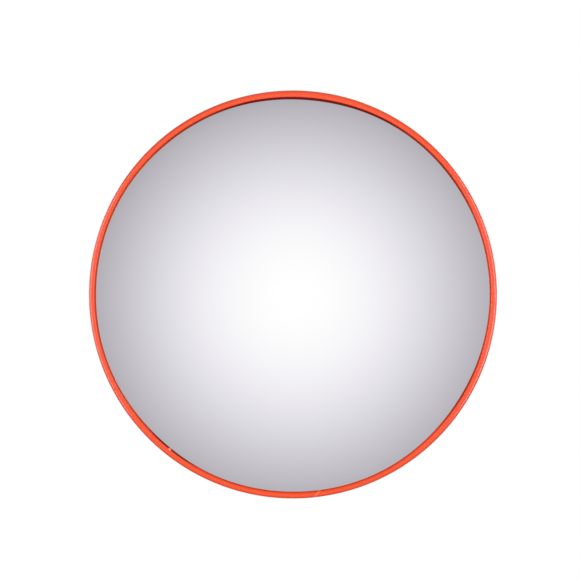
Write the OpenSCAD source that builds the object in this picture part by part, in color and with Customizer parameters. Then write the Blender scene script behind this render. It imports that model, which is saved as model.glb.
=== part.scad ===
// Round convex traffic mirror on a wall bracket that pans and tilts.
// Millimetres, +Z up. The wall is the plane y = 0, and the mirror looks along -Y.

/* [Mirror] */
// Outside diameter over the edge trim
mirror_d = 305; // [290:1:460]
// Height of the dome above its flange
dome_rise = 36; // [20:1:60]
// Thickness of the mirror sheet
lens_t = 2; // [1.5:0.1:3]
// Width of flange that shows between the dome and the trim
flange_show = 0.3; // [0.2:0.1:3]

/* [Edge trim] */
// Width of the trim, seen from the front
trim_w = 5.4; // [5.2:0.1:9]
// Wall of the trim outside its slot
trim_wall = 2.2; // [1.5:0.1:3]
// Thickness of the two lips
lip_t = 2.2; // [1.8:0.1:3]
// Radius of the outer edges
trim_round = 2.9; // [1:0.1:3]
// Width of the slope where each lip thins out towards its edge
lip_slope = 1.4; // [0.5:0.1:1.5]
// Thickness of the lips at that edge
lip_edge = 0.5; // [0.2:0.1:1]
// Radius of the crest between a lip's slope and its face
lip_round = 0.8; // [0.2:0.1:1]
// Width of the joint where the ends of the trim meet
joint_gap = 0.4; // [0.2:0.1:2]
// Place of that joint, from the bottom towards the viewer's right
joint_angle = 7; // [-180:1:180]
// Slant of the cut ends, from the mirror's radius
joint_slant = 45; // [0:5:60]

/* [Back shell] */
// Wall of the shell
shell_t = 2.5; // [1.8:0.1:3.5]
// Inside radius of the shell's bends
shell_bend = 3; // [1:0.5:6]
// Depth of the dish, from the flange to the floor
dish_depth = 22; // [14:1:40]
// Height of the pad under the bracket, above the floor
pad_h = 7; // [4:0.5:15]
// Width of flat pad left around the bracket plate
pad_margin = 2; // [1:0.5:8]
// Lean of the dish's wall, from the mirror's axis
wall_lean = 32; // [10:1:50]
// Lean of the pad's side, from the mirror's axis
pad_lean = 20; // [5:1:40]
// Number of stiffening beads
bead_count = 8; // [4:1:12]
// Width of a bead at the floor
bead_w = 12; // [8:0.5:18]
// Height of a bead above the floor
bead_h = 4; // [2.6:0.2:5]
// Space left between a bead and the bends at its two ends
bead_clear = 4; // [1:0.5:10]

/* [Bracket plates] */
// Thickness of the bracket's steel sheet
sheet_t = 2.5; // [2:0.1:4]
// Inside radius of the bends of the ears
ear_bend = 2.5; // [1:0.5:5]
// Length of a plate
plate_l = 100; // [90:1:120]
// Width of a plate
plate_w = 64; // [56:1:80]
// Radius of a plate's corners
plate_round = 10; // [2:1:14]
// Spacing of the fixing holes along a plate
hole_l = 76; // [66:1:80]
// Spacing of the fixing holes across a plate
hole_w = 40; // [30:1:44]
// Width of the ears
ear_w = 36; // [26:1:44]
// Distance from a plate's seat to its pivot
pivot_out = 36; // [28:1:60]

/* [Swivel arm] */
// Distance between the two pivots
arm_l = 52; // [46:1:120]
// Outside diameter of the arm's barrels
barrel_d = 22; // [16:1:24]
// Length of the arm's barrels
barrel_l = 25; // [20:1:32]
// Side of the square bar between the barrels
bar_w = 16; // [10:0.5:18]
// Radius of the bar's edges
bar_round = 2.5; // [0.5:0.5:4]

/* [Fasteners] */
// Diameter of the pivot bolts
bolt_d = 8; // [6:0.5:10]
// Diameter of the screws that hold the mirror to its bracket
screw_d = 6; // [4:0.5:8]
// Thickness of the flat washers
washer_t = 1.6; // [1:0.1:2]
// Thickness of the spring washers
spring_t = 2; // [1.5:0.1:3]
// Thickness of the friction washers
friction_t = 1; // [0.5:0.1:2]
// Thickness of the plate inside the shell
inner_t = 1.5; // [1:0.1:3]
// Width of that plate outside its holes' centres
inner_edge = 9; // [8:0.5:12]
// Thread left showing past a nut
thread_show = 3; // [1:0.5:8]

/* [Clearances] */
// Radial play of a pivot bolt in its bores
pivot_clear = 0.1; // [0.05:0.01:0.1]
// Play between a barrel and each friction washer
face_clear = 0.1; // [0.05:0.05:0.5]
// Radial play of a screw in its holes and of a washer on its bolt
hole_clear = 0.3; // [0.2:0.05:0.5]
// Radial play of a nut on its thread
thread_clear = 0.05; // [0.02:0.01:0.1]

/* [Hidden] */
$fn = 96;
arc_steps = 8;
slop = 1; // how far a cutting shape runs past what it cuts

zinc = "#b9bfc6";
orange = "#fa5f3a";

// Stack of pieces from the wall to the mirror, along the wall's normal
pan_y = -pivot_out;
tilt_y = pan_y - arm_l;
pad_y = tilt_y - pivot_out;
shell_depth = lens_t + shell_t + dish_depth + pad_h;
flange_y = pad_y - shell_depth;

// Mirror and trim, as radius and height in front of the flange's face
trim_r = mirror_d / 2;
flange_r = trim_r - trim_wall;
dome_base_r = trim_r - trim_w - flange_show;
dome_r = (dome_base_r ^ 2 + dome_rise ^ 2) / (2 * dome_rise);
slot_back_z = -lens_t - shell_t;

// Back shell
plate_reach = norm([plate_l / 2 - plate_round, plate_w / 2 - plate_round]) + plate_round;
pad_r = plate_reach + pad_margin + (shell_bend + shell_t) * tan((90 - pad_lean) / 2);
pad_z = -shell_depth;
floor_z = pad_z + pad_h;
pad_foot_r = pad_r + pad_h * tan(pad_lean);
brim_r = trim_r - trim_w - shell_bend;
floor_r = brim_r - dish_depth * tan(wall_lean);
bead_r = ((bead_w / 2) ^ 2 + bead_h ^ 2) / (2 * bead_h);
bead_start = pad_foot_r + bead_clear + bead_w / 2;
bead_end = floor_r - bead_clear - bead_w / 2;

// Clevises and pivots
ear_gap = barrel_l + 2 * (face_clear + friction_t);
ear_out = ear_gap / 2 + sheet_t;
pivot_bore_d = bolt_d + 2 * pivot_clear;
screw_hole_d = screw_d + 2 * hole_clear;

// Heads, nuts and washers, in proportion to their thread
function hex_af(d) = 1.6 * d;
function head_h(d) = 0.66 * d;
function nut_h(d) = 0.8 * d;
function washer_d(d) = 2 * d;
function tip_l(d) = d / 8;
function dome_head_r(d) = 0.9 * d;
function socket_af(d) = 0.67 * d;
function socket_h(d) = 0.35 * d;
chamfer_lean = 30;
spring_cut_lean = 30;
spring_cut_w = spring_t / 2;

// Outlines

function unit(v) = v / norm(v);
function left(v) = [-v.y, v.x];

// Points of the arc of radius r that rounds the corner at p between a and b
function corner(a, p, b, r) =
    let (
        u = unit(a - p),
        v = unit(b - p),
        half = acos(u * v) / 2,
        middle = p + unit(u + v) * r / sin(half),
        from = p + u * r / tan(half) - middle,
        to = p + v * r / tan(half) - middle,
        start = atan2(from.y, from.x),
        sweep = (atan2(to.y, to.x) - start + 540) % 360 - 180
    )
    [for (k = [0:arc_steps])
        let (turn = start + sweep * k / arc_steps) middle + r * [cos(turn), sin(turn)]];

// Closed outline through corners [x, y, radius]
function outline(corners) =
    let (n = len(corners), p = [for (c = corners) [c.x, c.y]])
    [for (i = [0:n - 1]) each
        corners[i].z == 0 ? [p[i]] : corner(p[(i + n - 1) % n], p[i], p[(i + 1) % n], corners[i].z)];

// Path that runs beside another, at a distance t to its left
function beside(path, t) =
    let (n = len(path), side = [for (i = [0:n - 2]) left(unit(path[i + 1] - path[i]))])
    [for (i = [0:n - 1])
        i == 0 ? path[i] + t * side[0] :
        i == n - 1 ? path[i] + t * side[n - 2] :
        path[i] + t * (side[i - 1] + side[i]) / (1 + side[i - 1] * side[i])];

// Open path with its bends rounded, by one radius where it turns left and another where it turns right
function bent(path, left_r, right_r) =
    let (n = len(path))
    [path[0],
     for (i = [1:n - 2]) each
        corner(path[i - 1], path[i], path[i + 1],
               cross(path[i] - path[i - 1], path[i + 1] - path[i]) > 0 ? left_r : right_r),
     path[n - 1]];

function backwards(list) = [for (i = [len(list) - 1:-1:0]) list[i]];

// Outline of a sheet of thickness t that is bent along a path and lies to its left
function bent_sheet(path, t, bend) =
    concat(bent(path, bend + t, bend), backwards(bent(beside(path, t), bend, bend + t)));

module rounded_square(l, w, r) {
    square([l - 2 * r, w], center = true);
    square([l, w - 2 * r], center = true);
    for (x = [-1, 1], y = [-1, 1])
        translate([x * (l / 2 - r), y * (w / 2 - r)]) circle(r);
}

// Places

// Flange's face in the middle of the mirror, z towards the viewer and y up
module on_mirror() translate([0, flange_y, 0]) rotate([90, 0, 0]) children();

// Seat of the mirror's bracket, z towards the wall
module on_pad() translate([0, pad_y, 0]) rotate([-90, 0, 0]) children();

// Seat of the wall's bracket, z away from the wall and x up
module on_wall() rotate([90, 0, 0]) rotate(90) children();

// Middle of each pivot, z along its bolt
module on_pan() translate([0, pan_y, 0]) children();
module on_tilt() translate([0, tilt_y, 0]) rotate([0, 90, 0]) children();

module at_holes()
    for (x = [-1, 1], y = [-1, 1])
        translate([x * hole_l / 2, y * hole_w / 2, 0]) children();

module at_both_ends()
    for (side = [0, 1]) mirror([0, 0, side]) children();

// Standard pieces

module hexagon(d, h) {
    r = hex_af(d) / sqrt(3);
    flat_r = hex_af(d) / 2;
    chamfer_h = (r - flat_r) * tan(chamfer_lean);
    intersection() {
        cylinder(r = r, h = h, $fn = 6);
        rotate_extrude() polygon([[0, 0], [r, 0], [r, h - chamfer_h], [flat_r, h], [0, h]]);
    }
}

// Bolt with its head's bearing face at z = 0 and its shank below
module hex_bolt(d, l) {
    hexagon(d, head_h(d));
    rotate_extrude() shank_outline(d, l);
}

// Screw with a domed head on z = 0, a hexagon socket in it and its shank below
module dome_screw(d, l) {
    h = head_h(d);
    crown_r = (dome_head_r(d) ^ 2 + h ^ 2) / (2 * h);
    difference() {
        rotate_extrude() {
            intersection() {
                translate([0, h - crown_r]) circle(crown_r);
                square([dome_head_r(d), h]);
            }
            shank_outline(d, l);
        }
        translate([0, 0, h - socket_h(d)])
            cylinder(r = socket_af(d) / sqrt(3), h = socket_h(d) + slop, $fn = 6);
    }
}

// Half of a shank's outline, from z = 0 down to its chamfered tip
module shank_outline(d, l)
    polygon([[0, 0], [d / 2, 0], [d / 2, tip_l(d) - l], [d / 2 - tip_l(d), -l], [0, -l]]);

module hex_nut(d)
    difference() {
        hexagon(d, nut_h(d));
        translate([0, 0, -slop]) cylinder(d = d + 2 * thread_clear, h = nut_h(d) + 2 * slop);
    }

module flat_washer(d, od, t)
    linear_extrude(t) difference() {
        circle(d = od);
        circle(d = d + 2 * hole_clear);
    }

// Split ring with a slanted cut
module spring_washer(d)
    difference() {
        flat_washer(d, hex_af(d), spring_t);
        translate([0, hex_af(d) / 2, spring_t / 2]) rotate([0, spring_cut_lean, 0])
            cube([spring_cut_w, hex_af(d), 3 * spring_t], center = true);
    }

// Plate with a welded U of two ears. The seat is z = 0, and the pivot runs along x.
module clevis_plate() {
    ear_end = pivot_out + ear_w / 2;
    u_path = [[-ear_out, ear_end], [-ear_out, sheet_t], [ear_out, sheet_t], [ear_out, ear_end]];
    linear_extrude(sheet_t) difference() {
        rounded_square(plate_l, plate_w, plate_round);
        at_holes() circle(d = screw_hole_d);
    }
    difference() {
        intersection() {
            rotate([90, 0, 0]) linear_extrude(ear_w, center = true)
                polygon(bent_sheet(u_path, sheet_t, ear_bend));
            rotate([90, 0, 90]) linear_extrude(2 * ear_out + slop, center = true) {
                translate([-ear_w / 2, 0]) square([ear_w, pivot_out]);
                translate([0, pivot_out]) circle(d = ear_w);
            }
        }
        translate([0, 0, pivot_out]) rotate([0, 90, 0])
            cylinder(d = pivot_bore_d, h = 2 * ear_out + slop, center = true);
    }
}

// Pieces on a pivot, with its middle at the origin and its bolt along z

module pivot_bolt() {
    stack = 2 * ear_out + 2 * washer_t + spring_t + nut_h(bolt_d) + thread_show;
    translate([0, 0, ear_out + washer_t]) hex_bolt(bolt_d, stack);
}

module pivot_washers()
    at_both_ends() translate([0, 0, ear_out]) flat_washer(bolt_d, washer_d(bolt_d), washer_t);

module pivot_spring_washer()
    translate([0, 0, -ear_out - washer_t - spring_t]) spring_washer(bolt_d);

module pivot_nut()
    translate([0, 0, -ear_out - washer_t - spring_t]) mirror([0, 0, 1]) hex_nut(bolt_d);

module pivot_friction_washers()
    at_both_ends() translate([0, 0, ear_gap / 2 - friction_t]) flat_washer(bolt_d, barrel_d, friction_t);

module barrel() cylinder(d = barrel_d, h = barrel_l, center = true);
module barrel_bore() cylinder(d = pivot_bore_d, h = barrel_l + slop, center = true);

// Nodes

module mirror_lens() color("gainsboro") on_mirror() rotate_extrude() {
    intersection() {
        translate([0, dome_rise - dome_r]) difference() {
            circle(dome_r);
            circle(dome_r - lens_t);
        }
        translate([0, -lens_t]) square([dome_base_r, dome_rise + lens_t]);
    }
    translate([dome_base_r, -lens_t]) square([flange_r - dome_base_r, lens_t]);
}

module edge_trim() {
    lip_r = trim_r - trim_w;
    front_z = lip_t;
    back_z = slot_back_z - lip_t;
    crest_r = lip_r + lip_slope;
    section = outline([
        [trim_r, front_z, trim_round], [crest_r, front_z, lip_round], [lip_r, lip_edge, 0], [lip_r, 0, 0],
        [flange_r, 0, 0], [flange_r, slot_back_z, 0],
        [lip_r, slot_back_z, 0], [lip_r, slot_back_z - lip_edge, 0], [crest_r, back_z, lip_round],
        [trim_r, back_z, trim_round],
    ]);
    cut_l = trim_w / cos(joint_slant) + 2 * slop;
    cut_h = front_z - back_z + 2 * slop;
    color(orange) on_mirror() difference() {
        rotate_extrude() polygon(section);
        rotate(joint_angle) translate([0, trim_w / 2 - trim_r, (front_z + back_z) / 2]) rotate(-joint_slant)
            cube([joint_gap, cut_l, cut_h], center = true);
    }
}

module back_shell() {
    path = [
        [0, pad_z], [pad_r, pad_z], [pad_foot_r, floor_z], [floor_r, floor_z],
        [brim_r, slot_back_z], [flange_r, slot_back_z],
    ];
    color(orange) on_mirror() difference() {
        union() {
            rotate_extrude() polygon(bent_sheet(path, shell_t, shell_bend));
            intersection() {
                beads(bead_r);
                translate([0, 0, floor_z - bead_h]) cylinder(r = floor_r, h = bead_h + shell_t / 2);
            }
        }
        beads(bead_r - shell_t);
        at_holes() translate([0, 0, pad_z - slop]) cylinder(d = screw_hole_d, h = shell_t + 2 * slop);
    }
}

// Rods with round ends, laid like spokes, which press the beads into the shell's floor
module beads(r)
    for (i = [0:bead_count - 1])
        rotate(360 / bead_count * (i + 0.5)) translate([bead_start, 0, floor_z - bead_h + bead_r])
            rotate([0, 90, 0]) {
                cylinder(r = r, h = bead_end - bead_start);
                sphere(r);
                translate([0, 0, bead_end - bead_start]) sphere(r);
            }

module inner_plate() color(zinc) on_pad()
    translate([0, 0, -shell_t - inner_t]) linear_extrude(inner_t) difference() {
        rounded_square(hole_l + 2 * inner_edge, hole_w + 2 * inner_edge, inner_edge);
        at_holes() circle(d = screw_hole_d);
    }

module inner_nuts() color(zinc) on_pad() at_holes()
    translate([0, 0, -shell_t - inner_t]) mirror([0, 0, 1]) hex_nut(screw_d);

module bracket_screws() {
    stack = washer_t + sheet_t + shell_t + inner_t + nut_h(screw_d) + thread_show;
    color(zinc) on_pad() at_holes() translate([0, 0, sheet_t + washer_t]) dome_screw(screw_d, stack);
}

module screw_washers() color(zinc) on_pad() at_holes()
    translate([0, 0, sheet_t]) flat_washer(screw_d, washer_d(screw_d), washer_t);

module mirror_bracket() color(zinc) on_pad() clevis_plate();
module wall_bracket() color(zinc) on_wall() clevis_plate();

module swivel_arm() color(zinc) difference() {
    union() {
        on_pan() barrel();
        on_tilt() barrel();
        translate([0, pan_y, 0]) rotate([90, 0, 0])
            linear_extrude(arm_l) rounded_square(bar_w, bar_w, bar_round);
    }
    on_pan() barrel_bore();
    on_tilt() barrel_bore();
}

module tilt_bolt() color(zinc) on_tilt() pivot_bolt();
module tilt_washers() color(zinc) on_tilt() pivot_washers();
module tilt_spring_washer() color(zinc) on_tilt() pivot_spring_washer();
module tilt_nut() color(zinc) on_tilt() pivot_nut();
module tilt_friction_washers() color("black") on_tilt() pivot_friction_washers();

module pan_bolt() color(zinc) on_pan() pivot_bolt();
module pan_washers() color(zinc) on_pan() pivot_washers();
module pan_spring_washer() color(zinc) on_pan() pivot_spring_washer();
module pan_nut() color(zinc) on_pan() pivot_nut();
module pan_friction_washers() color("black") on_pan() pivot_friction_washers();

mirror_lens();
edge_trim();
back_shell();
inner_plate();
inner_nuts();
bracket_screws();
screw_washers();
mirror_bracket();
tilt_bolt();
tilt_washers();
tilt_spring_washer();
tilt_nut();
tilt_friction_washers();
swivel_arm();
wall_bracket();
pan_bolt();
pan_washers();
pan_spring_washer();
pan_nut();
pan_friction_washers();
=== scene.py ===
import math

import bmesh
import bpy
from mathutils import Matrix, Vector, noise


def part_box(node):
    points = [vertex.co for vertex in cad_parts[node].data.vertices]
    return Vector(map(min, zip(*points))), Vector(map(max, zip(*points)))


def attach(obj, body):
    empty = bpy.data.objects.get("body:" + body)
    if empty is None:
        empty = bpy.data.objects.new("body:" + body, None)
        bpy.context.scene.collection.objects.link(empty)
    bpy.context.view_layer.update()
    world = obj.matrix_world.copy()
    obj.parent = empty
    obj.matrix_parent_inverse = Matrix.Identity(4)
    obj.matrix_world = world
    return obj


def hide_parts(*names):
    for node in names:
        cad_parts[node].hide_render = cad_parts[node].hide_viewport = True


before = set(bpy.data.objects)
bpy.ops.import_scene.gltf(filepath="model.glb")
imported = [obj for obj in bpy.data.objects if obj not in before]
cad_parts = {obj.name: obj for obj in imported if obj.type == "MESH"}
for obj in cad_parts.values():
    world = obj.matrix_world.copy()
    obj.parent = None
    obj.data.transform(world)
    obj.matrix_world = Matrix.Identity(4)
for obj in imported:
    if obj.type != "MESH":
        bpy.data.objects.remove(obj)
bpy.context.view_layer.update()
print("frame loaded with", len(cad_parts), "nodes")

mm = 0.001
fullTurn = 2 * math.pi
samePlace = 0.01 * mm  # points closer than this count as one place
joinWithin = 0.002 * mm  # points closer than this are merged
scene = bpy.context.scene
scene.view_settings.view_transform = "Standard"


class Wire:
    # one output of a shader node; sums and products of wires add Math nodes
    def __init__(self, tree, socket=None):
        self.tree = tree
        self.socket = socket

    def node(self, kind, settings=None, links=None, give=0):
        made = self.tree.nodes.new("ShaderNode" + kind)
        for name, value in (settings or {}).items():
            setattr(made, name, value)
        for name, value in (links or {}).items():
            if isinstance(value, Wire):
                self.tree.links.new(value.socket, made.inputs[name])
            else:
                made.inputs[name].default_value = value
        return Wire(self.tree, made.outputs[give] if made.outputs else None)

    def math(self, operation, first, second=0.0):
        return self.node("Math", {"operation": operation}, {0: first, 1: second})

    def __add__(self, other):
        return self.math("ADD", self, other)

    def __radd__(self, other):
        return self.math("ADD", other, self)

    def __sub__(self, other):
        return self.math("SUBTRACT", self, other)

    def __rsub__(self, other):
        return self.math("SUBTRACT", other, self)

    def __mul__(self, other):
        return self.math("MULTIPLY", self, other)

    def __rmul__(self, other):
        return self.math("MULTIPLY", other, self)

    def __pow__(self, other):
        return self.math("POWER", self, other)

    def __abs__(self):
        return self.math("ABSOLUTE", self)

    def dot(self, direction):
        return self.node("VectorMath", {"operation": "DOT_PRODUCT"}, {0: self, 1: direction}, "Value")

    def length(self):
        return self.node("VectorMath", {"operation": "LENGTH"}, {0: self}, "Value")

    def stretched(self, scale):
        return self.node("Mapping", {"vector_type": "POINT"}, {"Vector": self, "Scale": scale})

    def grain(self, scale, detail=2.0, roughness=0.5):
        return self.node("TexNoise", {"noise_dimensions": "3D"},
                         {"Vector": self, "Scale": scale, "Detail": detail, "Roughness": roughness}, "Fac")

    def between(self, low, high, fromValue=0.0, toValue=1.0):
        # runs smoothly from one value to another as the wire goes from low to high
        ends = {"From Min": low, "From Max": high, "To Min": fromValue, "To Max": toValue}
        return self.node("MapRange", {"interpolation_type": "SMOOTHSTEP"}, {"Value": self, **ends})

    def colours(self, first, second):
        return self.node("Mix", {"data_type": "RGBA"}, {0: self, 6: first, 7: second}, 2)

    def bump(self, depth, strength=1.0):
        return self.node("Bump", {}, {"Height": self, "Distance": depth, "Strength": strength})


def startMaterial(name):
    material = bpy.data.materials.new(name)
    material.use_nodes = True
    material.node_tree.nodes.clear()
    start = Wire(material.node_tree)
    return material, start.node("TexCoord", give="Object")


def finishMaterial(coords, sockets):
    surface = coords.node("BsdfPrincipled", {}, sockets)
    coords.node("OutputMaterial", {}, {"Surface": surface})


def spinRound(bm, steps):
    # turns the wire outline that is in bm once round the y axis, into a skin
    bmesh.ops.spin(bm, geom=bm.verts[:] + bm.edges[:], cent=(0, 0, 0), axis=(0, 1, 0), angle=fullTurn,
                   steps=steps, use_merge=True)
    bmesh.ops.remove_doubles(bm, verts=bm.verts[:], dist=joinWithin)
    bmesh.ops.recalc_face_normals(bm, faces=bm.faces[:])


def outline(bm, corners, closed=True):
    # joins corners of radius and y, in a plane that holds the y axis
    points = [bm.verts.new((radius, y, 0)) for radius, y in corners]
    ends = points[1:] + points[:1] if closed else points[1:]
    for first, second in zip(points, ends):
        bm.edges.new((first, second))
    return points


def onlyVerts(items):
    return [item for item in items if isinstance(item, bmesh.types.BMVert)]


def radiusOf(point):
    return math.hypot(point.x, point.z)


def roundRing(bm, radius, y, size, segments):
    # rounds the ring of edges that a corner of the outline became
    def onRing(point):
        return abs(radiusOf(point) - radius) < samePlace and abs(point.y - y) < samePlace

    ring = [edge for edge in bm.edges if onRing(edge.verts[0].co) and onRing(edge.verts[1].co)]
    bmesh.ops.bevel(bm, geom=ring, offset=size, affect="EDGES", segments=segments, profile=0.5, material=-1)


def smoothStep(value):
    value = min(1.0, max(0.0, value))
    return value * value * (3 - 2 * value)


slotPieces = {}


def makePiece(name, bm, material, body, nodes, slot, sharpAngle=None):
    mesh = bpy.data.meshes.new(name)
    bm.to_mesh(mesh)
    bm.free()
    mesh.shade_smooth()
    if sharpAngle:
        mesh.set_sharp_from_angle(angle=math.radians(sharpAngle))
    mesh.materials.append(material)
    piece = bpy.data.objects.new(name, mesh)
    scene.collection.objects.link(piece)
    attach(piece, body)
    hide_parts(*nodes)
    slotPieces.setdefault(slot, []).append(piece)
    print("made", name, "with", len(mesh.polygons), "faces")


# Sizes that several pieces share, read from the frame; depths run from the flange's face to the viewer

lensLow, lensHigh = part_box("mirror_lens")
trimLow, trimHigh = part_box("edge_trim")
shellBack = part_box("back_shell")[1].y

lens = {
    "sheet": 2.0 * mm,
    "underLip": 1.5 * mm,  # how far the dome runs on under the trim's soft lip
    "drop": 0.3 * mm,  # the sheet sits this much low in the trim
    "arcSteps": 56,
    "turnSteps": 288,
    "silver": ((0.950, 0.948, 0.950, 1), (0.960, 0.958, 0.960, 1)),
}
trim = {
    "width": 5.4 * mm,
    "outerRound": 2.9 * mm,
    "slopeWidth": 1.4 * mm,  # the lip's edge thins out over this width
    "slopeEdge": 0.3 * mm,
    "crestRound": 0.8 * mm,
    "lipRound": 0.1 * mm,
    "turnSteps": 384,
    # the soft lip isn't held to a true circle:
    # cosine and sine parts, in mm, of one, two, three... waves round it
    "waves": ((-0.19, -0.45), (0.17, -0.12), (-0.09, 0.37), (0.06, 0.15),
              (0.05, -0.08), (0.12, 0.00), (0.13, -0.05), (-0.11, 0.05)),
    "ripple": 0.03 * mm,
    "ripplePace": 9,  # higher is finer
    "topShade": 0.2,  # the lip is in shade at the top, as if it reached in this many mm more
    "lipBand": (0.75, 1.25),  # where the lip's matt finish and its painted shade end, in mm from its edge
    "jointAngle": math.radians(-83),  # from the viewer's right, anticlockwise
    "jointGap": 0.12 * mm,  # closed up
    "jointSlant": math.radians(45),
    "cutReach": 14 * mm,  # the cut goes no further than this from the joint's middle
    "jointPale": (0.2 * mm, 1.1 * mm),  # where the paler painted colour ends, from the cut
    "jointEnd": (6 * mm, 8 * mm),  # and from the joint's middle
    "nibAngle": math.radians(-128.5),
    "nibSize": (2.0 * mm, 1.9 * mm, 1.7 * mm),  # along the rim, across it, in depth
    "nibRound": 0.55 * mm,
    "nibOut": 1.0 * mm,  # its middle lies this far outside the lip's edge
    "nibHeight": 1.2 * mm,  # and this far in front of the flange
    "nibPale": (1.0 * mm, 1.6 * mm),  # where its pale colour ends
    "nibShadeEnds": (8 * mm, 40 * mm),  # where the painted shade round it ends
    "orange": ((0.89, 0.072, 0.012, 1), (0.93, 0.084, 0.016, 1)),
    "mottle": (0.85, 0.062, 0.010, 1),
    # painted shade for the lip's edge
    "paintedShadeRed": (0.15, 0.003, 0.002, 1),
    # painted paler colour at the cut ends and on the nib
    "paleMark": (1.0, 0.30, 0.17, 1),
}

flangeY = lensHigh.y - lens["sheet"]
apexY = lensLow.y
trimRadius = trimHigh.x
flangeRadius = lensHigh.x
lipRadius = trimRadius - trim["width"]
lipDepth = flangeY - trimLow.y
slotDepth = trimHigh.y - lipDepth - flangeY  # both flanges, which the trim grips
domeRadius = lipRadius + lens["underLip"]
domeRise = flangeY - apexY
domeBall = (domeRadius ** 2 + domeRise ** 2) / (2 * domeRise)
print("sizes read")


# Camera: straight in front, from as far as a long lens stands

camera = {
    "distance": 2.4,  # from the flange's face
    "rimPixels": 204.1,  # radius of the trim in the image
    "centrePixels": (2.93, 4.46),  # mirror's middle, right of and below the image's middle
    "imagePixels": 580,
    "sensor": 36.0,
}


def makeCamera():
    data = bpy.data.cameras.new("camera")
    data.sensor_width = camera["sensor"]
    data.lens = (camera["rimPixels"] / camera["imagePixels"] * camera["sensor"]
                 * camera["distance"] / trimRadius)
    eye = bpy.data.objects.new("camera", data)
    perPixel = trimRadius / camera["rimPixels"]
    right, down = camera["centrePixels"]
    eye.location = (-right * perPixel, flangeY - camera["distance"], down * perPixel)
    eye.rotation_euler = (math.radians(90), 0, 0)
    scene.collection.objects.link(eye)
    scene.camera = eye
    print("camera with a", round(data.lens), "mm lens")


makeCamera()


# Studio: white behind the object, and a room that is white in front and greyer to the sides

studio = {
    "roomFront": 0.80,
    "roomFall": 2.1,  # how fast the room darkens away from its front
    "roomFacing": (0.012, -1, -0.018),  # its brightest place, a little right and low
    "roomSide": 0.251,
    "roomDark": 0.25,  # share of that which is left straight to the side
    "roomBack": 0.16,
    "roomDim": 0.7,  # how much of the sides' light is gone straight above and below
    "roomAbove": 0.5,  # what a high ceiling gives back
    "sideEnds": (-0.1, 0.5),  # how far ahead the sides' light comes in, as a cosine
    "dimEnds": (0.3, 0.6),  # how far ahead its dimming goes, as a cosine
    "aboveEnds": (0.85, 0.98),  # how steeply up the ceiling comes in, as a cosine
    "tintEnds": (0.1, 0.45),  # how far aside the tint comes in, from 0 in front
    "sideTint": (1.022, 1.0, 1.072, 1),  # the greyer sides are faintly violet
    "floorDrop": 1.2,
    "floorRadius": 4.0,
    "floorFade": (2.4, 3.88),  # it fades to nothing between these distances
    "floorTones": ((0.86, 0.86, 0.86, 1), (0.9, 0.9, 0.9, 1)),
    "floorLift": 0.6,  # how far the floor is lifted towards white, as the camera sees it
}
cool, plainWhite = (0.60, 0.82, 1.0), (1, 1, 1)
# name: place, aim, width, height, watts of even light, watts that show in gloss, colour,
# and the slots that are left out of that gloss
lamps = {
    "leftBox": ((-1.8, -1.15, 0), (0, -0.15, 0), 0.75, 2.6, 3.0, 50.0, cool, ("mirror", "zinc")),
    "rightBox": ((1.8, -1.15, 0), (0, -0.15, 0), 0.75, 2.6, 3.0, 50.0, cool, ("mirror", "zinc")),
    "leftWide": ((-1.9, 0.1, 0), (0, -0.1, 0), 1.6, 1.5, 0, 6.7, plainWhite, ("mirror",)),
    "rightWide": ((1.9, 0.1, 0), (0, -0.1, 0), 1.6, 1.5, 0, 6.7, plainWhite, ("mirror",)),
    "rearBox": ((1.65, 0.9, 0.9), (0, -0.1, 0), 0.7, 0.7, 28.0, 0, plainWhite, ()),
    "rearWide": ((0.3, 2.4, 0.45), (0, -0.1, 0), 1.1, 1.1, 7.0, 7.0, plainWhite, ("mirror",)),
    "rearFill": ((-1.7, 1.1, 0.3), (0, -0.1, 0), 0.6, 1.4, 9.0, 4.5, plainWhite, ("mirror",)),
    "frontFill": ((-0.2, -2.7, 0.3), (0, -0.15, 0), 1.6, 1.2, 30.0, 0, plainWhite, ()),
}


def makeWorld():
    world = bpy.data.worlds.new("studio")
    scene.world = world
    world.use_nodes = True
    world.node_tree.nodes.clear()
    world.cycles.sampling_method = "NONE"
    start = Wire(world.node_tree)
    towards = start.node("TexCoord", give="Generated")
    ahead = towards.dot(studio["roomFacing"])
    front = ahead.math("MAXIMUM", ahead, 0.0) ** studio["roomFall"]
    back = ahead.math("MAXIMUM", 0.0 - ahead, 0.0)
    dim = abs(towards.dot((0, 0, 1))) * ahead.between(*studio["dimEnds"], studio["roomDim"], 0.0)
    side = ahead.between(*studio["sideEnds"], studio["roomDark"], 1.0) * studio["roomSide"] * (1 - dim)
    above = towards.dot((0, 0, 1)).between(*studio["aboveEnds"]) * studio["roomAbove"]
    room = front * studio["roomFront"] + back * studio["roomBack"] + side + above
    aside = (1 - ahead) ** 0.5
    tint = aside.between(*studio["tintEnds"]).colours((1, 1, 1, 1), studio["sideTint"])
    roomGlow = start.node("Background", {}, {"Color": tint, "Strength": room})
    white = start.node("Background", {}, {"Color": (1, 1, 1, 1), "Strength": 1.0})
    isCamera = start.node("LightPath", give="Is Camera Ray")
    isThrough = start.node("LightPath", give="Is Transmission Ray")
    seen = isCamera.math("MAXIMUM", isCamera, isThrough)
    studioGlow = start.node("MixShader", {}, {0: seen, 1: roomGlow, 2: white})
    start.node("OutputWorld", {}, {"Surface": studioGlow})


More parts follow.
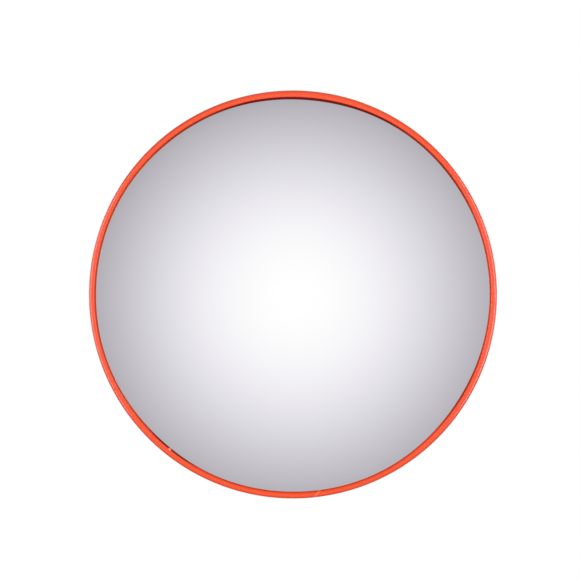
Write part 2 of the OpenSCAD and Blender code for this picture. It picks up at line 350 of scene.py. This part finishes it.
def makeLamps():
    for name, (place, aim, width, height, evenWatts, glossWatts, colour, _) in lamps.items():
        # the lamp that shows in gloss stands just in front of the other
        for ending, watts, nearer in (("Even", evenWatts, 0), ("Gloss", glossWatts, 0.01)):
            if not watts:
                continue
            data = bpy.data.lights.new(name + ending, "AREA")
            data.shape = "RECTANGLE"
            data.size, data.size_y = width, height
            data.energy = watts
            data.color = colour
            lamp = bpy.data.objects.new(name + ending, data)
            lamp.location = Vector(place).lerp(Vector(aim), nearer)
            lamp.rotation_euler = (Vector(aim) - Vector(place)).to_track_quat("-Z", "Y").to_euler()
            lamp.visible_camera = False
            lamp.visible_glossy = ending == "Gloss"
            lamp.visible_diffuse = ending == "Even"
            scene.collection.objects.link(lamp)


def makeFloor():
    bm = bmesh.new()
    bmesh.ops.create_circle(bm, cap_ends=True, segments=96, radius=studio["floorRadius"],
                            matrix=Matrix.Translation((0, 0, -studio["floorDrop"])))
    mesh = bpy.data.meshes.new("floor")
    bm.to_mesh(mesh)
    bm.free()
    floor = bpy.data.objects.new("floor", mesh)
    floor.visible_glossy = False
    scene.collection.objects.link(floor)
    material, coords = startMaterial("paleFloor")
    paint = coords.grain(6.0).colours(*studio["floorTones"])
    matt = coords.node("BsdfDiffuse", {}, {"Color": paint})
    glow = coords.node("Emission", {}, {"Color": (1, 1, 1, 1), "Strength": 1.0})
    lift = coords.node("LightPath", give="Is Camera Ray") * studio["floorLift"]
    pale = coords.node("MixShader", {}, {0: lift, 1: matt, 2: glow})
    clear = coords.node("BsdfTransparent")
    fade = coords.stretched((1, 1, 0)).length().between(*studio["floorFade"])
    gone = coords.math("MAXIMUM", fade, coords.node("NewGeometry", give="Backfacing"))  # clear from below
    surface = coords.node("MixShader", {}, {0: gone, 1: pale, 2: clear})
    coords.node("OutputMaterial", {}, {"Surface": surface})
    mesh.materials.append(material)


makeWorld()
makeLamps()
makeFloor()
print("studio lit")


# Mirror sheet: a dome of one radius that runs into a flat flange

def mirrorFinish():
    material, coords = startMaterial("silveredSheet")
    haze = coords.grain(9.0, 3.0)
    speck = coords.grain(420.0, 2.0)
    finishMaterial(coords, {
        "Base Color": haze.colours(*lens["silver"]),
        "Metallic": 1.0,
        "Roughness": 0.012 + 0.02 * haze * speck,
    })
    return material


def makeLens():
    middle = (0, apexY + domeBall, 0)
    bm = bmesh.new()

    def sweep(depth):
        # arc from the axis out to the flange, at a depth below the mirror's face
        first = bm.verts.new((0, apexY + depth, 0))
        angle = math.acos((domeBall - domeRise - depth) / (domeBall - depth))
        made = bmesh.ops.spin(bm, geom=[first], cent=middle, axis=(0, 0, 1), angle=angle,
                              steps=lens["arcSteps"])
        return made["geom_last"][0]

    faceEnd = sweep(0)
    backEnd = sweep(lens["sheet"])
    rim = flangeRadius - lens["drop"]
    faceRim = bm.verts.new((rim, flangeY, 0))
    backRim = bm.verts.new((rim, lensHigh.y, 0))
    for pair in ((faceEnd, faceRim), (faceRim, backRim), (backRim, backEnd)):
        bm.edges.new(pair)
    spinRound(bm, lens["turnSteps"])
    bmesh.ops.translate(bm, verts=bm.verts[:], vec=(0, 0, -lens["drop"]))
    makePiece("mirror_sheet", bm, mirrorFinish(), "mirror_head", ["mirror_lens"], "mirror", 15)


makeLens()


# Edge trim: a soft U section that grips both flanges, cut to length and butted near the bottom

def lipShift(angle):
    # how far the lip lies outside its circle there
    waves = enumerate(trim["waves"], 1)
    return mm * sum(c * math.cos(k * angle) + s * math.sin(k * angle) for k, (c, s) in waves)


def domeHeight(point):
    # of the mirror's face above its flange
    reach = math.hypot(point.x, point.z + lens["drop"])
    return max(0.0, domeRise - domeBall + math.sqrt(domeBall ** 2 - reach ** 2))


def nibMiddle():
    # middle of the nib that is left on the lip
    angle = trim["nibAngle"]
    reach = lipRadius + trim["nibOut"] + lipShift(angle)
    return Vector((reach * math.cos(angle), flangeY - trim["nibHeight"], reach * math.sin(angle)))


def trimJoint():
    # middle of the slanted joint, on the trim's front, and the way across it
    angle = trim["jointAngle"]
    reach = trimRadius - trim["width"] / 2
    outwards = Vector((math.cos(angle), 0, math.sin(angle)))
    middle = Vector((reach * math.cos(angle), trimLow.y, reach * math.sin(angle)))
    return middle, Matrix.Rotation(-trim["jointSlant"], 3, "Y") @ outwards


def trimFinish():
    material, coords = startMaterial("orangeTrim")
    cloud = coords.grain(14.0, 3.0)
    fine = coords.grain(1400.0, 2.0)
    # lines of the die, which follow the section round the rim
    outwards = coords.stretched((1, 0, 1)).length()
    backwards = coords.dot((0, 1, 0))
    section = coords.node("CombineXYZ", {}, {"X": outwards, "Y": backwards})
    die = section.grain(1900.0, 2.0)
    plain = cloud.colours(*trim["orange"])
    mottled = (0.3 * fine).colours(plain, trim["mottle"])
    # the cut ends are painted paler where they meet
    middle, slantWay = trimJoint()
    offset = coords.node("VectorMath", {"operation": "SUBTRACT"}, {0: coords, 1: middle})
    nearJoint = abs(offset.dot(slantWay)).between(*trim["jointPale"], 1.0, 0.0)
    atJoint = offset.length().between(*trim["jointEnd"], 1.0, 0.0)
    # the lip's thin edge is matt, and painted a deeper red as shade: most of all where it reaches far in,
    # at the top, and round the nib
    across = coords.node("Attribute", {"attribute_name": "acrossLip"}, give="Fac")
    reach = coords.node("Attribute", {"attribute_name": "lipReachAndShade"}, give="Fac")
    fromNib = coords.node("VectorMath", {"operation": "DISTANCE"}, {0: coords, 1: nibMiddle()}, "Value")
    nearNib = fromNib.between(*trim["nibPale"], 1.0, 0.0)
    onLip = (across + 0.45 * reach).between(*trim["lipBand"], 1.0, 0.0)
    # painted shade: a deeper red where the lip reaches far in, and round the nib
    shadeByReach = reach.between(-0.75, 0.1, 1.0, 0.38)
    shadeByNib = fromNib.between(*trim["nibShadeEnds"], 0.95, 0.0)
    deep = onLip * coords.math("MAXIMUM", shadeByReach, shadeByNib)
    shadedLip = (deep * (1 - nearNib)).colours(mottled, trim["paintedShadeRed"])
    pale = coords.math("MAXIMUM", nearJoint * atJoint * 0.5, nearNib * 0.6)
    paleMarked = pale.colours(shadedLip, trim["paleMark"])
    height = die * 0.6 + fine * 0.25 + cloud * 0.15
    finishMaterial(coords, {
        "Base Color": paleMarked,
        "Roughness": 0.42 + 0.08 * cloud + 0.06 * fine + 0.3 * onLip,
        "Specular IOR Level": 0.1,
        "Coat Weight": across.between(2.4, 3.8, 0.5, 1.0) * (1 - onLip * (1 - nearNib)),
        "Coat Roughness": 0.24,
        "Normal": height.bump(0.03 * mm, 0.12),
    })
    return material


def makeTrim():
    front, back = trimLow.y, trimHigh.y
    crest = lipRadius + trim["slopeWidth"]
    slotY = flangeY + slotDepth
    bm = bmesh.new()
    acrossLip = bm.verts.layers.float.new("acrossLip")  # in millimetres from the lip's edge
    lipReachAndShade = bm.verts.layers.float.new("lipReachAndShade")  # in millimetres outside its circle, with the topShade term that deepens the painted shade at the top
    outline(bm, [
        (trimRadius, front), (crest, front), (lipRadius, flangeY - trim["slopeEdge"]), (lipRadius, flangeY),
        (flangeRadius, flangeY), (flangeRadius, slotY),
        (lipRadius, slotY), (lipRadius, slotY + trim["slopeEdge"]), (crest, back), (trimRadius, back),
    ])
    spinRound(bm, trim["turnSteps"])
    for y in (front, back):
        roundRing(bm, trimRadius, y, trim["outerRound"], 6)
        roundRing(bm, crest, y, trim["crestRound"], 5)
    for y in (flangeY - trim["slopeEdge"], slotY + trim["slopeEdge"]):
        roundRing(bm, lipRadius, y, trim["lipRound"], 2)

    # the lip wanders, and its edge rests on the dome
    for vert in bm.verts:
        angle = math.atan2(vert.co.z, vert.co.x)
        out = Vector((math.cos(angle), 0, math.sin(angle)))
        across = radiusOf(vert.co) - lipRadius
        shift = lipShift(angle) + trim["ripple"] * noise.noise(out * trim["ripplePace"])
        inFront = vert.co.y < flangeY + samePlace
        vert[acrossLip] = across / mm if inFront else trim["width"] / mm
        # the topShade term only deepens the painted shade towards the top; it moves nothing
        vert[lipReachAndShade] = shift / mm - trim["topShade"] * math.sin(angle)
        held = smoothStep((across - trim["slopeWidth"]) / (trim["width"] - trim["slopeWidth"]))
        vert.co += out * shift * (1 - held)
        if inFront:
            vert.co.y -= domeHeight(vert.co) * (1 - smoothStep(across / trim["slopeWidth"]))

    # slanted cut, then each end closed
    middle, slantWay = trimJoint()
    halfGap = trim["jointGap"] / 2

    def facesNear():
        return [face for face in bm.faces
                if (face.calc_center_median() - middle).xz.length < trim["cutReach"]]

    for side in (-1, 1):
        near = facesNear()
        edges = {edge for face in near for edge in face.edges}
        verts = {vert for face in near for vert in face.verts}
        bmesh.ops.bisect_plane(bm, geom=near + list(edges | verts), dist=1e-7,
                               plane_co=middle + slantWay * side * halfGap, plane_no=slantWay)
    gone = [face for face in facesNear()
            if abs((face.calc_center_median() - middle).dot(slantWay)) < halfGap]
    bmesh.ops.delete(bm, geom=gone, context="FACES")
    ends = [edge for edge in bm.edges if edge.is_boundary]
    bmesh.ops.holes_fill(bm, edges=ends, sides=0)

    # nib left on the lip where it was trimmed by hand
    along, wide, deep = trim["nibSize"]
    spot = Matrix.Translation(nibMiddle()) @ Matrix.Rotation(-trim["nibAngle"], 4, "Y")
    nib = bmesh.ops.create_cube(bm, size=1, matrix=spot @ Matrix.Diagonal((wide, deep, along, 1)))
    for vert in nib["verts"]:
        vert[acrossLip] = trim["width"] / mm
    edges = list({edge for vert in nib["verts"] for edge in vert.link_edges})
    bmesh.ops.bevel(bm, geom=edges, offset=trim["nibRound"], affect="EDGES", segments=3, profile=0.5,
                    material=-1)
    bmesh.ops.recalc_face_normals(bm, faces=bm.faces[:])
    makePiece("rim_trim", bm, trimFinish(), "mirror_head", ["edge_trim"], "trim", 30)


makeTrim()


# Back shell: one moulded dish with a pad for the bracket and beads that stiffen its floor

shell = {
    "wall": 2.5 * mm,
    "padHeight": 7.0 * mm,
    "padRadius": 61.5 * mm,
    "padLean": math.radians(20),
    "wallLean": math.radians(32),
    "bendInside": 3.0 * mm,
    "beadCount": 8,
    "beadWidth": 12.0 * mm,
    "beadHeight": 4.0 * mm,
    "beadClear": 4.0 * mm,  # left between a bead and the bends at its ends
    "beadFoot": 0.8 * mm,  # the bead runs out into the floor over this much on each side
    "beadCrown": 1.4,  # higher is more pointed
    "floorSpan": 5.0 * mm,  # longer edges of the floor than this are cut into rings
    "floorCuts": 34,
    "turnSteps": 480,
    "orange": ((0.80, 0.078, 0.022, 1), (0.88, 0.094, 0.030, 1)),
    "grain": (0.70, 0.060, 0.016, 1),
}


def shellFinish():
    material, coords = startMaterial("mouldedShell")
    cloud = coords.grain(11.0, 3.0)
    leather = coords.grain(850.0, 3.0, 0.6)
    pits = coords.node("TexVoronoi", {"feature": "F1"}, {"Vector": coords, "Scale": 1300.0}, "Distance")
    plain = cloud.colours(*shell["orange"])
    grained = (leather.between(0.35, 0.7) * 0.5).colours(plain, shell["grain"])
    height = leather * 0.7 + pits * 0.3
    finishMaterial(coords, {
        "Base Color": grained,
        "Roughness": 0.34 + 0.12 * cloud + 0.10 * leather,
        "Normal": height.bump(0.12 * mm, 0.6),
    })
    return material


def makeShell():
    padY, floorY, brimY = shellBack, shellBack - shell["padHeight"], flangeY + slotDepth
    inside, outside = shell["bendInside"], shell["bendInside"] + shell["wall"]
    padRadius = shell["padRadius"]
    footRadius = padRadius + shell["padHeight"] * math.tan(shell["padLean"])
    brimRadius = lipRadius - inside
    floorRadius = brimRadius - (floorY - brimY) * math.tan(shell["wallLean"])
    bm = bmesh.new()
    outline(bm, [
        (0, padY), (padRadius, padY), (footRadius, floorY), (floorRadius, floorY), (brimRadius, brimY),
        (flangeRadius, brimY),
    ], closed=False)
    spinRound(bm, shell["turnSteps"])
    padTurn = math.tan(math.pi / 4 - shell["padLean"] / 2)
    wallTurn = math.tan(math.pi / 4 - shell["wallLean"] / 2)
    roundRing(bm, padRadius, padY, outside * padTurn, 5)
    roundRing(bm, footRadius, floorY, inside * padTurn, 4)
    roundRing(bm, floorRadius, floorY, outside * wallTurn, 5)
    roundRing(bm, brimRadius, brimY, inside * wallTurn, 4)

    # rings across the floor, then the beads pressed out of it
    spokes = [edge for edge in bm.edges
              if max(abs(vert.co.y - floorY) for vert in edge.verts) < samePlace
              and abs(radiusOf(edge.verts[0].co) - radiusOf(edge.verts[1].co)) > shell["floorSpan"]]
    bmesh.ops.subdivide_edges(bm, edges=spokes, cuts=shell["floorCuts"], use_grid_fill=True)
    first = footRadius + shell["beadClear"] + shell["beadWidth"] / 2
    last = floorRadius - shell["beadClear"] - shell["beadWidth"] / 2
    halfWide = shell["beadWidth"] / 2 + shell["beadFoot"]
    spacing = fullTurn / shell["beadCount"]
    for vert in bm.verts:
        if abs(vert.co.y - floorY) > samePlace:
            continue
        angle = math.atan2(vert.co.z, vert.co.x) % spacing - spacing / 2
        along = radiusOf(vert.co) * math.cos(angle)
        aside = radiusOf(vert.co) * math.sin(angle)
        away = math.hypot(aside, max(0.0, first - along, along - last)) / halfWide
        if away < 1:
            vert.co.y += shell["beadHeight"] * (1 - away * away) ** shell["beadCrown"]
    bmesh.ops.recalc_face_normals(bm, faces=bm.faces[:])
    if sum(face.normal.y * face.calc_area() for face in bm.faces) < 0:
        bmesh.ops.reverse_faces(bm, faces=bm.faces[:])
    bmesh.ops.solidify(bm, geom=bm.faces[:], thickness=shell["wall"])
    makePiece("shell_dish", bm, shellFinish(), "mirror_head", ["back_shell"], "shell", 40)


makeShell()


# Zinc plated steel, as rolled sheet and as brighter turned fasteners, and black nylon

tones = {
    "sheet": ((0.50, 0.52, 0.55, 1), (0.80, 0.82, 0.85, 1)),
    "fastener": ((0.58, 0.59, 0.62, 1), (0.84, 0.85, 0.87, 1)),
    "nylon": ((0.016, 0.016, 0.017, 1), (0.034, 0.034, 0.036, 1)),
}


def sheetFinish():
    material, coords = startMaterial("zincSheet")
    cloud = coords.grain(30.0, 4.0, 0.6)
    flakes = coords.node("TexVoronoi", {"feature": "F1"}, {"Vector": coords, "Scale": 260.0}, "Color")
    flake = flakes.dot((0.5, 0.3, 0.2))
    rolled = coords.stretched((1, 1, 14)).grain(160.0, 3.0)
    tone = cloud * 0.55 + flake * 0.2 + rolled * 0.25
    finishMaterial(coords, {
        "Base Color": tone.colours(*tones["sheet"]),
        "Metallic": 1.0,
        "Roughness": 0.24 + 0.20 * cloud + 0.08 * rolled,
        "Normal": (rolled * 0.6 + flake * 0.4).bump(0.02 * mm, 0.4),
    })
    return material


def fastenerFinish():
    material, coords = startMaterial("zincFastener")
    cloud = coords.grain(120.0, 3.0)
    fine = coords.grain(2200.0, 2.0)
    tone = cloud * 0.8 + fine * 0.2
    finishMaterial(coords, {
        "Base Color": tone.colours(*tones["fastener"]),
        "Metallic": 1.0,
        "Roughness": 0.18 + 0.16 * cloud + 0.05 * fine,
        "Normal": fine.bump(0.01 * mm, 0.15),
    })
    return material


def nylonFinish():
    material, coords = startMaterial("blackNylon")
    cloud = coords.grain(200.0, 3.0)
    fine = coords.grain(2600.0, 2.0)
    finishMaterial(coords, {
        "Base Color": cloud.colours(*tones["nylon"]),
        "Roughness": 0.42 + 0.16 * fine,
        "Normal": fine.bump(0.02 * mm, 0.4),
    })
    return material


zincSheet = sheetFinish()
zincFastener = fastenerFinish()
blackNylon = nylonFinish()
print("zinc and nylon mixed")


# Steel: what the metal pieces share, such as broken edges and weld beads

steel = {
    "flatWithin": math.radians(0.5),  # triangles that turn less than this are one flat face
    "burrAngle": math.radians(28),  # edges that turn more than this are broken
    "creaseAngle": math.radians(18),  # and what still turns more than this is shaded sharp
    "weldTaper": (0.45, 0.2),  # a bead's size at its ends, and its growth from point to point
    "weldRipple": 0.10,
    "weldUneven": 0.12,
    "weldPace": 300,  # higher is finer
}


def copyNode(name):
    # the node's own shape, with its loose triangles joined and its flat faces made whole
    bm = bmesh.new()
    bm.from_mesh(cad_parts[name].data)
    bmesh.ops.remove_doubles(bm, verts=bm.verts[:], dist=joinWithin)
    bmesh.ops.dissolve_limit(bm, angle_limit=steel["flatWithin"], use_dissolve_boundaries=False,
                             verts=bm.verts[:], edges=bm.edges[:], delimit=set())
    return bm


def breakEdges(bm, size):
    # takes the burr off every sharp edge, and keeps the flats beside it shaded flat
    def turnsBy(edge, angle):
        return edge.is_manifold and edge.calc_face_angle() > angle

    sharp = [edge for edge in bm.edges if turnsBy(edge, steel["burrAngle"])]
    bmesh.ops.bevel(bm, geom=sharp, offset=size, affect="EDGES", segments=2, profile=0.5, material=-1,
                    clamp_overlap=True)
    for edge in bm.edges:
        edge.smooth = not turnsBy(edge, steel["creaseAngle"])


def weldBead(bm, path, size, closed=False):
    # a bead of overlapping ripples along a path of points
    data = bpy.data.curves.new("weld", "CURVE")
    data.dimensions = "3D"
    data.bevel_depth = size
    data.bevel_resolution = 4
    data.use_fill_caps = True
    line = data.splines.new("POLY")
    line.points.add(len(path) - 1)
    line.use_cyclic_u = closed
    atEnd, growth = steel["weldTaper"]
    for count, (point, place) in enumerate(zip(line.points, path)):
        point.co = (*place, 1)
        taper = 1.0 if closed else min(1.0, atEnd + growth * min(count, len(path) - 1 - count))
        ripple = steel["weldRipple"] * math.cos(count * math.pi / 2)
        uneven = steel["weldUneven"] * noise.noise(place * steel["weldPace"])
        point.radius = taper * (1 + ripple + uneven)
    run = bpy.data.objects.new("weld", data)
    mesh = bpy.data.meshes.new_from_object(run)
    bm.from_mesh(mesh)
    bpy.data.objects.remove(run)
    bpy.data.curves.remove(data)
    bpy.data.meshes.remove(mesh)


# Brackets: a plate with a U of two ears, welded along the U's bends

bracket = {
    "edge": 0.35 * mm,
    "sheet": 2.5 * mm,
    "earWidth": 36.0 * mm,
    "earOut": 16.1 * mm,  # outside of the ears, from the middle
    "weldSize": 1.7 * mm,
    "weldIn": 1.0 * mm,  # the bead's middle lies inside the ear's outside
    "weldLift": 0.45,  # and this share of its size above the plate
    "weldShort": 3 * mm,  # the bead is this much shorter than the ear is wide
    "weldStep": 0.5 * mm,
}


def straightRun(middle, direction, length):
    count = round(length / bracket["weldStep"])
    return [middle + direction * (k / count - 0.5) * length for k in range(count + 1)]


def makeBracket(name, node, body, plateFace, outward, earSide, earAlong):
    bm = copyNode(node)
    breakEdges(bm, bracket["edge"])
    for side in (-1, 1):
        middle = (Vector((0, plateFace, 0)) + outward * bracket["weldSize"] * bracket["weldLift"]
                  + earSide * side * (bracket["earOut"] - bracket["weldIn"]))
        run = straightRun(middle, earAlong, bracket["earWidth"] - bracket["weldShort"])
        weldBead(bm, run, bracket["weldSize"])
    makePiece(name, bm, zincSheet, body, [node], "zinc")


toWall, toViewer = Vector((0, 1, 0)), Vector((0, -1, 0))
sideways, upwards = Vector((1, 0, 0)), Vector((0, 0, 1))
wallPlate = -bracket["sheet"]
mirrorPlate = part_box("mirror_bracket")[0].y + bracket["sheet"]
makeBracket("bracket_wall", "wall_bracket", "wall_mount", wallPlate, toViewer, upwards, sideways)
makeBracket("bracket_mirror", "mirror_bracket", "mirror_head", mirrorPlate, toWall, sideways, upwards)


# Swivel arm: two crossed barrels on a square bar, with a weld round each end of the bar

arm = {
    "edge": 0.5 * mm,
    "barrelRadius": 11.0 * mm,
    "barHalf": 8.0 * mm,
    "barRound": 2.5 * mm,
    "barCuts": 21,  # in each flat side, so that the weld has points to follow
    "weldSize": 1.5 * mm,
}


def barOutline():
    # the bar's rounded square, as points across the bar
    bm = bmesh.new()
    bmesh.ops.create_grid(bm, x_segments=1, y_segments=1, size=arm["barHalf"])
    bmesh.ops.bevel(bm, geom=bm.verts[:], offset=arm["barRound"], affect="VERTICES", segments=5,
                    profile=0.5, material=-1)
    sides = [edge for edge in bm.edges if edge.calc_length() > arm["barRound"]]
    bmesh.ops.subdivide_edges(bm, edges=sides, cuts=arm["barCuts"])
    points = [vert.co.xy for vert in bm.faces[:][0].verts]
    bm.free()
    return points


def makeArm():
    low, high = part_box("swivel_arm")
    bm = copyNode("swivel_arm")
    breakEdges(bm, arm["edge"])
    panY, tiltY = high.y - arm["barrelRadius"], low.y + arm["barrelRadius"]
    around = barOutline()
    reach = arm["barrelRadius"]
    atPan = [Vector((p.x, panY - math.sqrt(reach ** 2 - p.x ** 2), p.y)) for p in around]
    atTilt = [Vector((p.x, tiltY + math.sqrt(reach ** 2 - p.y ** 2), p.y)) for p in around]
    weldBead(bm, atPan, arm["weldSize"], closed=True)
    weldBead(bm, atTilt, arm["weldSize"], closed=True)
    makePiece("arm_swivel", bm, zincSheet, "swivel", ["swivel_arm"], "zinc")


makeArm()


# Pivots: bolt, nut, washers, spring washer and the friction washers inside the ears

pivot = {
    "bolt": 8.0 * mm,
    "across": 12.8 * mm,  # flats of the hexagons
    "pitch": 1.25 * mm,
    "core": 3.3 * mm,
    "threadLength": 20 * mm,
    "threadRun": 0.5 * mm,  # the thread's start slopes down over this
    "threadEnd": 0.3 * mm,  # plain end past the thread
    "pointChamfer": 0.4 * mm,
    "ridgeSunk": 0.1 * mm,  # how deep the ridge's foot lies in the core
    "ridgeShare": 0.96,  # of the pitch, so that the turns lie just apart inside the core
    "threadSteps": 24,
    "nutLead": 0.5 * mm,
    "washerEdge": 0.22 * mm,
    "springEdge": 0.15 * mm,
    "springClear": 0.3 * mm,  # round the bolt
    "springGap": math.radians(9),
    "springSlant": math.radians(20),
    "springSteps": 60,
    "chamfer": math.tan(math.radians(30)),  # of a hexagon's corners
    "flatShare": 0.95,  # of the width across flats, inside the chamfer
    "steps": 48,
}


def hexReach(angle, across):
    return across / 2 / math.cos(angle % (fullTurn / 6) - fullTurn / 12)


def makeHexagon(bm, across, lowEnd, highEnd):
    # pulls the ring at the corners' radius onto the six flats, and chamfers the ends that are given
    corner = across / math.sqrt(3)
    for vert in bm.verts:
        if abs(radiusOf(vert.co) - corner) < samePlace:
            reach = hexReach(math.atan2(vert.co.z, vert.co.x), across)
            drop = (reach - pivot["flatShare"] * across / 2) * pivot["chamfer"]
            vert.co.x *= reach / corner
            vert.co.z *= reach / corner
            if highEnd is not None and abs(vert.co.y - highEnd) < samePlace:
                vert.co.y -= drop
            if lowEnd is not None and abs(vert.co.y - lowEnd) < samePlace:
                vert.co.y += drop


def cutThread(bm, start, stop):
    # a triangular ridge that winds from start to stop along the bolt
    turns = int((start - stop) / pivot["pitch"]) - 1
    root, crest = pivot["core"] - pivot["ridgeSunk"], pivot["bolt"] / 2
    base = pivot["ridgeShare"] * pivot["pitch"]
    steps = pivot["threadSteps"]
    ridge = outline(bm, [(root, start), (crest, start - base / 2), (root, start - base)])
    bm.faces.new(ridge)
    edges = list({edge for vert in ridge for edge in vert.link_edges})
    made = bmesh.ops.spin(bm, geom=ridge + edges, cent=(0, 0, 0), axis=(0, 1, 0), angle=turns * fullTurn,
                          dvec=(0, -pivot["pitch"] / steps, 0), steps=turns * steps)
    bm.faces.new(onlyVerts(made["geom_last"]))


def boltShape(end, seat, top):
    radius, across = pivot["bolt"] / 2, pivot["across"]
    flat, corner = pivot["flatShare"] * across / 2, across / math.sqrt(3)
    core, chamfer = pivot["core"], pivot["pointChamfer"]
    threadStart = end + pivot["threadLength"]
    bm = bmesh.new()
    outline(bm, [
        (0, top), (flat, top), (corner, top), (corner, seat), (radius, seat), (radius, threadStart),
        (core, threadStart - pivot["threadRun"]), (core, end + chamfer), (core - chamfer, end), (0, end),
    ], closed=False)
    spinRound(bm, pivot["steps"])
    makeHexagon(bm, across, None, top)
    cutThread(bm, threadStart, end + pivot["threadEnd"])
    return bm


def nutShape(end, seat):
    bore, across = pivot["bolt"] / 2, pivot["across"]
    flat, corner = pivot["flatShare"] * across / 2, across / math.sqrt(3)
    lead = pivot["nutLead"]
    bm = bmesh.new()
    outline(bm, [
        (bore, seat - lead), (bore + lead, seat), (flat, seat), (corner, seat), (corner, end), (flat, end),
        (bore + lead, end), (bore, end + lead),
    ])
    spinRound(bm, pivot["steps"])
    makeHexagon(bm, across, end, seat)
    return bm


def springShape(low, high, inner, outer, gapAngle):
    bm = bmesh.new()
    ring = outline(bm, [(inner, low), (outer, low), (outer, high), (inner, high)])
    bm.faces.new(ring)
    turn = Matrix.Rotation(-(gapAngle + pivot["springGap"] / 2), 4, "Y")
    bmesh.ops.transform(bm, matrix=turn, verts=bm.verts[:])
    made = bmesh.ops.spin(bm, geom=ring + bm.edges[:], cent=(0, 0, 0), axis=(0, -1, 0),
                          angle=fullTurn - pivot["springGap"], steps=pivot["springSteps"])
    bm.faces.new(onlyVerts(made["geom_last"]))
    for vert in bm.verts:
        lean = ((vert.co.y - low) / (high - low) - 0.5) * pivot["springSlant"]
        vert.co = Matrix.Rotation(lean, 3, "Y") @ vert.co
    breakEdges(bm, pivot["springEdge"])
    return bm


def finishShape(bm, place):
    bmesh.ops.remove_doubles(bm, verts=bm.verts[:], dist=joinWithin)
    bmesh.ops.recalc_face_normals(bm, faces=bm.faces[:])
    bmesh.ops.transform(bm, matrix=place, verts=bm.verts[:])


def makeWashers(name, node, body, finish, slot):
    washers = copyNode(node)
    breakEdges(washers, pivot["washerEdge"])
    makePiece(name, washers, finish, body, [node], slot)


def makePivot(name, body, axis, turn):
    # every shape is made upright about the y axis, then turned onto its bolt's line
    def reach(node):
        low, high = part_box(node)
        return low[axis], high[axis]

    end, top = reach(name + "_bolt")
    seat = reach(name + "_washers")[1]
    nutEnd, nutSeat = reach(name + "_nut")
    springLow, springHigh = reach(name + "_spring_washer")
    low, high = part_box(name + "_bolt")
    place = Matrix.Translation((0, (low.y + high.y) / 2, 0)) @ turn
    toBack = place.inverted().to_3x3() @ toWall

    bolt = boltShape(end, seat, top)
    finishShape(bolt, place)
    makePiece(name + "_hex_bolt", bolt, zincFastener, body, [name + "_bolt"], "zinc", 20)
    nut = nutShape(nutEnd, nutSeat)
    finishShape(nut, place)
    makePiece(name + "_hex_nut", nut, zincFastener, body, [name + "_nut"], "zinc", 20)
    spring = springShape(springLow, springHigh, pivot["bolt"] / 2 + pivot["springClear"],
                         pivot["across"] / 2, math.atan2(toBack.z, toBack.x))
    finishShape(spring, place)
    makePiece(name + "_split_washer", spring, zincFastener, body, [name + "_spring_washer"], "zinc")
    makeWashers(name + "_flat_washers", name + "_washers", body, zincFastener, "zinc")
    makeWashers(name + "_nylon_washers", name + "_friction_washers", body, blackNylon, "nylon")


quarter = math.pi / 2
makePivot("pan", "wall_mount", 2, Matrix.Rotation(quarter, 4, "X"))
makePivot("tilt", "mirror_head", 0, Matrix.Rotation(-quarter, 4, "Z") @ Matrix.Rotation(quarter, 4, "Y"))


# Screws that hold the bracket to the shell, with domed heads and hexagon sockets

screw = {
    "thread": 6.0 * mm,
    "headRadius": 5.4 * mm,
    "socketAcross": 4.0 * mm,
    "socketDepth": 2.1 * mm,
    "socketRim": 0.25 * mm,  # kept between the socket's corners and the dome's facets
    "tip": 0.75 * mm,
    "arcSteps": 8,
    "steps": 48,
}


def makeScrews():
    low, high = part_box("bracket_screws")
    seat, top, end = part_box("screw_washers")[1].y, high.y, low.y
    rise = top - seat
    ball = (screw["headRadius"] ** 2 + rise ** 2) / (2 * rise)
    radius, corner = screw["thread"] / 2, screw["socketAcross"] / math.sqrt(3)
    bottom, rim, tip = top - screw["socketDepth"], corner + screw["socketRim"], screw["tip"]

    def domeY(reach):
        return top - ball + math.sqrt(ball ** 2 - reach ** 2)

    bm = bmesh.new()
    socket = outline(bm, [(0, bottom), (corner, bottom), (corner, domeY(corner))], closed=False)
    start = bm.verts.new((rim, domeY(rim), 0))
    bm.edges.new((socket[-1], start))
    sweep = math.asin(screw["headRadius"] / ball) - math.asin(rim / ball)
    made = bmesh.ops.spin(bm, geom=[start], cent=(0, top - ball, 0), axis=(0, 0, -1), angle=sweep,
                          steps=screw["arcSteps"])
    shank = outline(bm, [(radius, seat), (radius, end + tip), (radius - tip, end), (0, end)], closed=False)
    bm.edges.new((made["geom_last"][0], shank[0]))
    spinRound(bm, screw["steps"])
    for vert in bm.verts:
        if abs(radiusOf(vert.co) - corner) < samePlace:
            reach = hexReach(math.atan2(vert.co.z, vert.co.x), screw["socketAcross"])
            vert.co.x *= reach / corner
            vert.co.z *= reach / corner
            if vert.co.y > bottom + samePlace:
                vert.co.y = domeY(reach)
    whole = bm.verts[:] + bm.edges[:] + bm.faces[:]
    across, upright = high.x - screw["headRadius"], high.z - screw["headRadius"]
    bmesh.ops.translate(bm, verts=bm.verts[:], vec=(across, 0, upright))
    for shift in ((-2 * across, 0, 0), (0, 0, -2 * upright), (-2 * across, 0, -2 * upright)):
        copied = bmesh.ops.duplicate(bm, geom=whole)
        bmesh.ops.translate(bm, verts=onlyVerts(copied["geom"]), vec=shift)
    makePiece("socket_screws", bm, zincFastener, "mirror_head", ["bracket_screws"], "zinc", 20)
    makeWashers("flat_washers", "screw_washers", "mirror_head", zincFastener, "zinc")


makeScrews()

# what is inside the shell keeps its own shape
for node, finish in (("inner_plate", zincSheet), ("inner_nuts", zincFastener)):
    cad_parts[node].material_slots[0].material = finish
print("inside dressed")


def flagLamps():
    # a lamp would show its own shape in the mirror, and would bleach the flat zinc, so it leaves those out
    for name, (*_, glossWatts, _, slots) in lamps.items():
        if not glossWatts:
            continue
        leftOut = bpy.data.collections.new(name + "LeftOut")
        for slot in slots:
            for piece in slotPieces[slot]:
                leftOut.objects.link(piece)
        for item in leftOut.collection_objects:
            item.light_linking.link_state = "EXCLUDE"
        scene.objects[name + "Gloss"].light_linking.receiver_collection = leftOut
    print("lamps flagged")


flagLamps()
